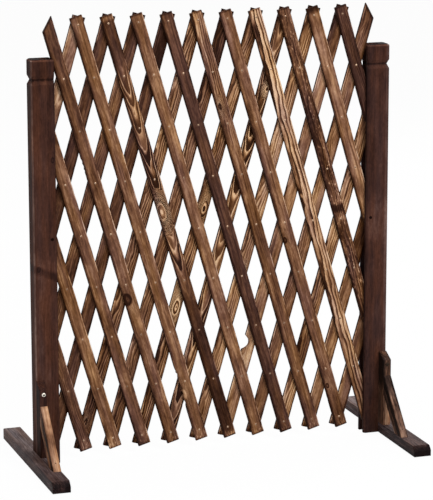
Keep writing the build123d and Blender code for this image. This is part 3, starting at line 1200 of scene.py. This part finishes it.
@dataclass
class Lattice:
    """The scissor lattice: two layers of slats and the nails through them. Sizes in mm."""

    metal: bpy.types.Material
    pitch: float = 114.5
    lean_deg: float = 16.25
    width: float = 27.0
    thickness: float = 7.5
    gap: float = 0.3
    top_overrun: float = 17.0
    bottom_overrun: float = 21.5
    hidden_overrun: float = 10.0
    columns: int = 11
    rows: int = 8
    middle_row: int = 4
    middle_height: float = 480.0
    middle_y: float = 14.0
    front_shift: int = 4
    mitred_front: int = 4
    mitred_rear: int = 11
    edge_round: float = 1.7
    # Reach of the slats' pale upper corner: wear and a painted highlight.
    worn_corner: float = 2.1
    wear: float = 0.4
    head_radius: float = 2.2
    head_rise: float = 0.8
    shank_radius: float = 1.1
    tail_radius: float = 1.6
    rear_seed: float = 20.5

    @property
    def lean(self) -> float:
        """Lean of the slats at rest, in radians."""
        return math.radians(self.lean_deg)

    def place(self, column: float, row: int) -> Tuple[float, float]:
        """Distance along the fence and height of a crossing."""
        x = (2 * column - self.columns) * self.pitch * math.sin(self.lean)
        return x, self.middle_height + (self.middle_row - row) * self.pitch * math.cos(self.lean)

    def column(self, layer: Layer, index: int, row: int) -> float:
        """Column where a slat crosses a row."""
        return index - self.front_shift + row / 2 if layer is Layer.FRONT else index - row / 2

    def rows_of(self, layer: Layer, index: int) -> List[int]:
        """Rows of a slat that lie on the lattice."""
        return [r for r in range(self.rows + 1) if 0 <= self.column(layer, index, r) <= self.columns]

    def overrun_at(self, column: float, free: float) -> float:
        """Wood beyond an end crossing: short inside a post's groove."""
        return self.hidden_overrun if column in (0, self.columns) else free

    def build(self) -> List[bpy.types.Object]:
        """Builds both layers and the nails.

        Returns:
            The slats and the rows of nails.
        """
        slats, nails = SlatTree(), NailTree()
        pieces = [self._slat(slats, layer, index, look)
                  for layer, looks in ((Layer.FRONT, FRONT_LOOKS), (Layer.REAR, REAR_LOOKS))
                  for index, look in looks.items()]
        return pieces + [self._nails(nails, index) for index in FRONT_LOOKS]

    def _slat(self, tree: SlatTree, layer: Layer, index: int, look: SlatLook) -> bpy.types.Object:
        """Builds one slat, dresses it and puts it on its body.

        Args:
            tree: The tree that makes slats.
            layer: The slat's layer.
            index: Its number in the layer, from the left.
            look: How burnt it is, its cut and its marks.

        Returns:
            The slat.
        """
        rows = self.rows_of(layer, index)
        first, last = self.column(layer, index, rows[0]), self.column(layer, index, rows[-1])
        x, z = self.place(first, rows[0])
        y = self.middle_y - layer.value * (self.gap + self.thickness) / 2
        mitred = index == (self.mitred_front if layer is Layer.FRONT else self.mitred_rear)
        top = self.top_overrun if mitred else self.overrun_at(first, self.top_overrun)
        foot = (rows[-1] - rows[0]) * self.pitch + self.overrun_at(last, self.bottom_overrun)
        mitre = float(layer.value) if mitred else 0.0
        run = (layer.value * math.sin(self.lean), 0.0, -math.cos(self.lean))
        name = f"slat_{layer.word}_{index:02d}"
        board = self._board(layer, index, look, name, (x * MM, y * MM, z * MM), run, (top, foot, mitre))
        start = Vector((x, y, z)) - Vector(run) * top
        piece = tree.make(
            name, Length=(foot + top) * MM, Width=self.width * MM, Thickness=self.thickness * MM,
            Round=self.edge_round * MM, Mitre=mitre, Wear=self.wear * MM, Chip=look.chip * MM,
            Bite=tuple(value * MM for value in look.bite), Torn=tuple(value * MM for value in look.torn),
            Seed=float(index * layer.value), Turn=-layer.value * self.lean, Place=tuple(start * MM),
            Material=board.material())
        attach(piece, f"{layer.word}_{index:02d}")
        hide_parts(f"{layer.word}_slat_{index:02d}")
        return piece

    def _board(self, layer: Layer, index: int, look: SlatLook, name: str, start: Point, run: Point,
               ends: Tuple[float, float, float]) -> CharredWood:
        """The wood of one slat.

        Args:
            layer: The slat's layer.
            index: Its number in the layer.
            look: How burnt it is, its cut and its marks.
            name: Name of the material.
            start: Place of its upper end crossing, in metres.
            run: Direction down the slat.
            ends: Length above that crossing, length below it, and slope of the upper end.

        Returns:
            The finish.
        """
        front = layer is Layer.FRONT
        top, foot, mitre = ends
        # Sides and lower margins darker with char and painted shade; upper corners paler with wear and a
        # painted highlight.
        faces = Faces(
            self.width / 2, self.thickness / 2, sides=-0.6, corner=0.56, corner_width=self.worn_corner,
            corner_depth=self.worn_corner, corner_cool=0.2, upper=float(layer.value), rubbed=look.rubbed,
            margin=-0.32, low=-top, high=foot, mitre=mitre, ends=-0.3 if front else -0.5,
            end_reach=5.0 if front else 12.0, frayed=0.34 if front else 0.0)
        return CharredWood(
            name, start, run, (math.cos(self.lean), 0.0, layer.value * math.sin(self.lean)), faces,
            look.burn.value, Tone.PINE, look.grain, index + (0.0 if front else self.rear_seed), look.blotch,
            look.warmth, look.fade, look.knots, look.bands, self.pitch, lively=look.lively)

    def _nails(self, tree: NailTree, index: int) -> bpy.types.Object:
        """Builds the row of nails on one front slat.

        Args:
            tree: The tree that makes rows of nails.
            index: Number of the front slat.

        Returns:
            The row of nails.
        """
        rows = [r for r in self.rows_of(Layer.FRONT, index) if index - self.front_shift + r in REAR_LOOKS]
        rows = [r for r in rows
                if not (r == self.middle_row and self.column(Layer.FRONT, index, r) in (0, self.columns))]
        x, z = self.place(self.column(Layer.FRONT, index, rows[0]), rows[0])
        face = self.middle_y - self.gap / 2 - self.thickness
        step = Vector((math.sin(self.lean), 0.0, -math.cos(self.lean))) * self.pitch
        piece = tree.make(
            f"nail_row_{index:02d}", Count=len(rows), Start=(x * MM, face * MM, z * MM),
            Step=tuple(step * MM), Head=self.head_radius * MM, Rise=self.head_rise * MM,
            Shank=self.shank_radius * MM, Depth=(2 * self.thickness + self.gap) * MM,
            Tail=self.tail_radius * MM, Seed=index, Material=self.metal)
        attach(piece, f"front_{index:02d}")
        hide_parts(f"nails_{index:02d}")
        return piece


class Side(Enum):
    """The two ends of the fence. The value is the way outwards."""

    LEFT = -1
    RIGHT = 1

    @property
    def word(self) -> str:
        """The side's word in names."""
        return self.name.lower()


@dataclass(frozen=True)
class StandBoard:
    """How one timber of a stand is cut and burnt, in the words of CharredWood."""

    node: str
    run: Point
    across: Point
    tone: Tone
    burn: float
    faces: Faces
    grain: Grain = Grain.FINE
    warmth: float = 0.5
    blotch: float = 0.24
    fade: float = 0.0
    knots: Tuple[Knot, ...] = ()
    bands: Tuple[Band, ...] = ()
    roughness: float = 0.55
    gloss: float = 0.01


DOWN, RIGHTWARDS, BACKWARDS = (0.0, 0.0, -1.0), (1.0, 0.0, 0.0), (0.0, 1.0, 0.0)


@dataclass
class Stand:
    """One post with its foot and brace, whose solids keep their shape. Sizes in mm."""

    side: Side
    metal: bpy.types.Material
    edge_round: float = 0.8
    edge_angle_deg: float = 25.0
    weld_reach: float = 0.01
    post_width: float = 50.0
    post_depth: float = 38.0
    post_height: float = 853.0
    neck_drop: float = 42.5
    foot_width: float = 38.0
    foot_height: float = 23.0
    foot_length: float = 418.0
    batten_width: float = 29.0
    batten_thickness: float = 17.0
    strut_run: Point = (0.0, -102.0, -111.0)
    dowel_reach: float = 9.0
    dowel_burn: float = 0.8
    seeds: Tuple[float, float] = (41.0, 57.0)
    seed_step: float = 3.7

    @property
    def left(self) -> bool:
        """Whether this is the left stand."""
        return self.side is Side.LEFT

    @property
    def inner(self) -> float:
        """The way from the post to the lattice."""
        return -float(self.side.value)

    def build(self) -> List[bpy.types.Object]:
        """Dresses the stand's solids.

        Returns:
            The timbers, the dowel, the hidden screws and the pin.
        """
        pieces = []
        seed = self.seeds[0 if self.left else 1]
        for board in (self._post(), self._foot(), self._leg(), self._strut()):
            node = f"{board.node}_{self.side.word}"
            wood = CharredWood(
                node, self._middle(node), board.run, board.across, board.faces, board.burn, board.tone,
                board.grain, seed, board.blotch, board.warmth, board.fade, board.knots, board.bands,
                roughness=board.roughness, gloss=board.gloss)
            pieces.append(self._coat(node, wood.material()))
            self._soften(pieces[-1])
            seed += self.seed_step
        pieces.append(self._dowel())
        for fitting in ("foot_screws", "post_pin"):
            pieces.append(self._coat(f"{fitting}_{self.side.word}", self.metal))
        return pieces

    def _post(self) -> StandBoard:
        """The grooved post, with saw marks at its head and neck.

        Returns:
            The post's cut and burn.
        """
        half = self.post_height / 2
        neck = half - self.neck_drop
        # The outer chamfer paler with wear and a painted highlight, the sides a little darker with char and
        # painted shade.
        faces = Faces(
            self.post_width / 2, self.post_depth / 2, sides=-0.12, corner=0.36 if self.left else 0.18,
            corner_width=2.9 if self.left else 8.0, corner_depth=7.0 if self.left else 3.5, corner_cool=0.7,
            upper=-self.inner, broken=False, inner_from=self.inner * 8.0, inner=-0.08, low=-half, high=half,
            ends=-0.4, end_reach=0.8)
        cuts = (Band(2.6 - half, 2.4, 0.24), Band(-neck - 1.0, 3.0, -0.2), Band(6.0 - neck, 4.0, 0.08))
        if self.left:
            knots: Tuple[Knot, ...] = (Knot(8.0, -15.0, 4.0, 0.5), Knot(-219.0, 18.0, 4.0, 0.5))
            tones = (Band(18.0, 11.0, -0.19, 0.42), Band(-2.0, 14.0, 0.06, 0.42),
                     Band(-380.0, 80.0, -0.07), Band(120.0, 110.0, 0.03))
        else:
            knots = ()
            tones = (Band(-300.0, 140.0, -0.03), Band(-46.0, 60.0, 0.15), Band(230.0, 120.0, -0.02))
        return StandBoard(
            "post", DOWN, RIGHTWARDS, Tone.POST, 0.47 if self.left else 0.43, faces, Grain.SMOOTH,
            warmth=0.6 if self.left else 0.35, blotch=0.2, fade=0.03, knots=knots, bands=cuts + tones)

    def _foot(self) -> StandBoard:
        """The foot, paler towards its back end.

        Returns:
            The foot's cut and burn.
        """
        reach = self.foot_length / 2
        # Painted light on the top, painted shade on the lower sides and on the right edge of the front end.
        faces = Faces(
            self.foot_width / 2, self.foot_height / 2, back=0.14, sides=0.0, ground_shade=-0.16, nose=-0.12,
            low=-reach, high=reach, ends=-0.15 if self.left else -0.3, end_reach=9.0)
        return StandBoard("foot", BACKWARDS, RIGHTWARDS, Tone.FOOT, 0.35, faces,
                          blotch=0.3, fade=0.34, gloss=0.03)

    def _leg(self) -> StandBoard:
        """The brace's upright, dark on the left and pale below a charred top on the right.

        Returns:
            The leg's cut and burn.
        """
        # Sides and margins darker: char, and painted shade.
        faces = Faces(self.batten_thickness / 2, self.batten_width / 2, sides=-0.2,
                      margin=0.0 if self.left else -0.2, upper=1.0)
        if self.left:
            return StandBoard("brace_leg", DOWN, RIGHTWARDS, Tone.POST, 0.34, faces, warmth=0.7)
        return StandBoard("brace_leg", DOWN, RIGHTWARDS, Tone.BRACE, 0.64, faces, warmth=0.4,
                          bands=(Band(-54.0, 60.0, -0.4), Band(66.0, 20.0, 0.04)))

    def _strut(self) -> StandBoard:
        """The brace's slanting batten, pale on the left and charred on the right.

        Returns:
            The strut's cut and burn.
        """
        run = tuple(Vector(self.strut_run).normalized())
        # A pale corner from wear and a painted highlight; sides and margins darker from char and painted
        # shade.
        faces = Faces(
            self.batten_thickness / 2, self.batten_width / 2, corner=0.4 if self.left else 0.3,
            corner_width=1.6, corner_cool=0.3, upper=self.inner, margin=-0.12, sides=-0.4)
        if self.left:
            return StandBoard(
                "brace_strut", run, RIGHTWARDS, Tone.BRACE, 0.62, faces, Grain.PLAIN, warmth=0.6, blotch=0.4,
                bands=(Band(4.0, 20.0, -0.12), Band(-60.0, 20.0, 0.16), Band(70.0, 10.0, -0.08)))
        return StandBoard(
            "brace_strut", run, RIGHTWARDS, Tone.BRACE, 0.33, faces, Grain.PLAIN, warmth=0.12, blotch=0.66,
            fade=0.5, bands=(Band(-56.0, 26.0, -0.02), Band(62.0, 24.0, 0.1)))

    def _dowel(self) -> bpy.types.Object:
        """Dresses the hidden dowel in unburnt beech.

        Returns:
            The dowel.
        """
        node = f"brace_dowel_{self.side.word}"
        faces = Faces(self.dowel_reach, self.dowel_reach, sides=0.0, ends=0.0)
        beech = CharredWood(node, self._middle(node), BACKWARDS, RIGHTWARDS, faces, self.dowel_burn,
                            Tone.BRACE, Grain.SMOOTH, seed=7.0, blotch=0.1)
        return self._coat(node, beech.material())

    @staticmethod
    def _middle(node: str) -> Point:
        """Middle of a solid's box, in metres."""
        low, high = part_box(node)
        return tuple((Vector(low) + Vector(high)) / 2)

    @staticmethod
    def _coat(node: str, material: bpy.types.Material) -> bpy.types.Object:
        """Gives a solid its material.

        Args:
            node: The solid's node.
            material: Its finish.

        Returns:
            The solid.
        """
        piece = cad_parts[node]
        piece.data.materials.clear()
        piece.data.materials.append(material)
        return piece

    def _soften(self, piece: bpy.types.Object) -> None:
        """Rounds a timber's edges.

        Args:
            piece: The timber.
        """
        weld = piece.modifiers.new("weld", "WELD")
        weld.merge_threshold = self.weld_reach * MM
        bevel = piece.modifiers.new("soft edges", "BEVEL")
        bevel.width = self.edge_round * MM
        bevel.segments = 2
        bevel.limit_method = "ANGLE"
        bevel.angle_limit = math.radians(self.edge_angle_deg)


@dataclass
class BraceScrew:
    """Round-headed screw with a cross recess that holds a brace to its post.

    Sizes in mm. The dome's rings are shares of the head's radius and their depths. The recess has
    its reach at the mouth and at the floor, its depth, and the width and sharpness of its arms.
    """

    side: Side
    metal: bpy.types.Material
    brace_middle: float = 383.94
    head_y: float = -34.0
    height: float = 159.0
    shank_radius: float = 2.0
    shank_length: float = 43.0
    head_radius: float = 4.4
    head_rise: float = 2.2
    dome: Tuple[Tuple[float, float], ...] = (
        (1.0, 0.0), (1.0, -0.5), (0.93, -1.1), (0.76, -1.75), (0.55, -2.1))
    recess_mouth: float = 2.1
    recess_floor: float = 1.9
    recess_depth: float = 1.5
    arm_width: float = 0.42
    arm_power: int = 6
    segments: int = 32

    def build(self) -> List[bpy.types.Object]:
        """Turns the head and shank and puts them on the stand.

        Returns:
            The screw.
        """
        shape = bmesh.new()
        loops = self._loops(shape)
        for first, second in zip(loops, loops[1:]):
            for step in range(self.segments):
                after = (step + 1) % self.segments
                shape.faces.new((first[step], first[after], second[after], second[step]))
        shape.faces.new(loops[0])
        shape.faces.new(loops[-1])
        bmesh.ops.recalc_face_normals(shape, faces=shape.faces)
        place = Matrix.Translation((self.side.value * self.brace_middle, self.head_y, self.height))
        bmesh.ops.transform(shape, matrix=place, verts=shape.verts)
        bmesh.ops.scale(shape, vec=(MM, MM, MM), verts=shape.verts)
        mesh = bpy.data.meshes.new(f"round_screw_{self.side.word}")
        shape.to_mesh(mesh)
        shape.free()
        mesh.materials.append(self.metal)
        piece = put(f"round_screw_{self.side.word}", mesh)
        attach(piece, f"{self.side.word}_stand")
        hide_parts(f"brace_screw_{self.side.word}")
        return [piece]

    def _loops(self, shape: bmesh.types.BMesh) -> List[List[bmesh.types.BMVert]]:
        """Adds the rings of points from the shank's tip to the floor of the recess.

        Args:
            shape: The mesh that gets the points.

        Returns:
            The rings in order.
        """
        rings = [(self.shank_radius, self.shank_length, False), (self.shank_radius, 0.0, False)]
        rings += [(self.head_radius * share, depth, False) for share, depth in self.dome]
        rings += [(self.recess_mouth, -self.head_rise, True),
                  (self.recess_floor, self.recess_depth - self.head_rise, True)]
        loops = []
        for radius, depth, crossed in rings:
            loop = []
            for step in range(self.segments):
                angle = 2 * math.pi * step / self.segments
                arms = self.arm_width + (1 - self.arm_width) * abs(math.cos(2 * angle)) ** self.arm_power
                reach = radius * arms if crossed else radius
                loop.append(shape.verts.new((reach * math.cos(angle), depth, reach * math.sin(angle))))
            loops.append(loop)
        return loops


@dataclass(frozen=True)
class Lamp:
    """A square soft light: its name, its place and size in metres and its power in watts."""

    name: str
    place: Point
    size: float
    power: float


@dataclass
class Studio:
    """Floor, lights and camera. Lengths in metres, angles in degrees, lens and sensor in mm."""

    target: Point = (0.00992, 0.014, 0.4288)
    azimuth: float = -18.492
    elevation: float = 12.141
    distance: float = 5.2505
    lens: float = 178.73
    sensor: float = 36.0
    roll: float = -0.104
    far_end: float = 200.0
    floor_reach: float = 40.0
    floor_grey: float = 0.9
    floor_glow: float = 0.97
    world_light: float = 0.18
    world_seen: float = 0.82
    lamps: Tuple[Lamp, ...] = (
        Lamp("key", (1.4, -3.6, 3.4), 1.6, 166.0),
        Lamp("fill", (-2.8, -3.2, 1.6), 2.6, 20.0),
        Lamp("top", (-0.6, 0.2, 3.6), 2.4, 50.0),
        Lamp("rear", (3.0, 2.5, 2.2), 2.0, 75.0))

    def build(self) -> None:
        """Builds the floor, the lights, the world and the camera."""
        self._floor()
        self._world()
        for lamp in self.lamps:
            self._lamp(lamp)
        self._camera()

    def _floor(self) -> None:
        """Makes a white floor that keeps a faint shadow."""
        mesh = bpy.data.meshes.new("floor")
        reach = self.floor_reach
        corners = [(-reach, -reach, 0), (reach, -reach, 0), (reach, reach, 0), (-reach, reach, 0)]
        mesh.from_pydata(corners, [], [(0, 1, 2, 3)])
        floor = put("floor", mesh)
        made = bpy.data.materials.new("floor_white")
        made.use_nodes = True
        made.node_tree.nodes.clear()
        graph = Graph(made.node_tree)
        sheet = graph.node("ShaderNodeBsdfDiffuse", None, {"Color": (self.floor_grey,) * 3 + (1.0,)})
        glow = graph.node("ShaderNodeEmission", None, {"Color": WHITE, "Strength": 1.0})
        eye = self._seen(graph) * self.floor_glow
        shown = graph.node("ShaderNodeMixShader", None, {0: eye, 1: sheet, 2: glow})
        graph.feed(made.node_tree.nodes.new("ShaderNodeOutputMaterial"), {"Surface": shown})
        mesh.materials.append(made)

    def _world(self) -> None:
        """Makes even white surroundings."""
        world = bpy.data.worlds.new("studio")
        world.use_nodes = True
        bpy.context.scene.world = world
        graph = Graph(world.node_tree)
        graph.feed(world.node_tree.nodes["Background"], {
            "Color": WHITE, "Strength": self._seen(graph) * self.world_seen + self.world_light})

    @staticmethod
    def _seen(graph: Graph) -> Wire:
        """Tells rays from the camera, a mirror or glass apart.

        Args:
            graph: The graph of a material or the world.

        Returns:
            1 for such rays, 0 for others.
        """
        rays = graph.node("ShaderNodeLightPath").socket.node.outputs
        kinds = ("Is Camera Ray", "Is Glossy Ray", "Is Transmission Ray")
        eye, mirror, glass = (Wire(graph, rays[kind]) for kind in kinds)
        return graph.math("ADD", eye + mirror, glass, clamp=True)

    def _lamp(self, lamp: Lamp) -> None:
        """Points one light at the fence.

        Args:
            lamp: The light's place, size and power.
        """
        data = bpy.data.lights.new(lamp.name, "AREA")
        data.size = lamp.size
        data.energy = lamp.power
        made = put(lamp.name, data)
        made.location = lamp.place
        made.rotation_euler = (Vector(self.target) - Vector(lamp.place)).to_track_quat("-Z", "Y").to_euler()

    def _camera(self) -> None:
        """Puts the camera at the photograph's place."""
        azimuth, elevation = math.radians(self.azimuth), math.radians(self.elevation)
        level = math.cos(elevation)
        back = Vector((math.sin(azimuth) * level, -math.cos(azimuth) * level, math.sin(elevation)))
        data = bpy.data.cameras.new("camera")
        data.sensor_width = self.sensor
        data.lens = self.lens
        data.clip_end = self.far_end
        camera = put("camera", data)
        camera.location = Vector(self.target) + back * self.distance
        facing = (-back).to_track_quat("-Z", "Y").to_matrix()
        camera.rotation_euler = (facing @ Matrix.Rotation(math.radians(self.roll), 3, "Z")).to_euler()
        bpy.context.scene.camera = camera


def main() -> None:
    """Builds the fence's looks in order and reports each piece."""
    logging.basicConfig(level=logging.INFO, format="%(message)s")
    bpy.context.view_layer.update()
    bpy.context.scene.view_settings.view_transform = "Standard"
    assemblies: List[Union[Lattice, Stand, BraceScrew]] = [Lattice(NAIL_STEEL.material())]
    hidden = SOOTY_STEEL.material()
    for side, steel in ((Side.LEFT, SCREW_STEEL), (Side.RIGHT, BURNT_STEEL)):
        assemblies += [Stand(side, hidden), BraceScrew(side, steel.material())]
    for assembly in assemblies:
        for piece in assembly.build():
            log.info("%s: %d faces", piece.name, len(piece.data.polygons))
    Studio().build()


if __name__ == "__main__":
    main()
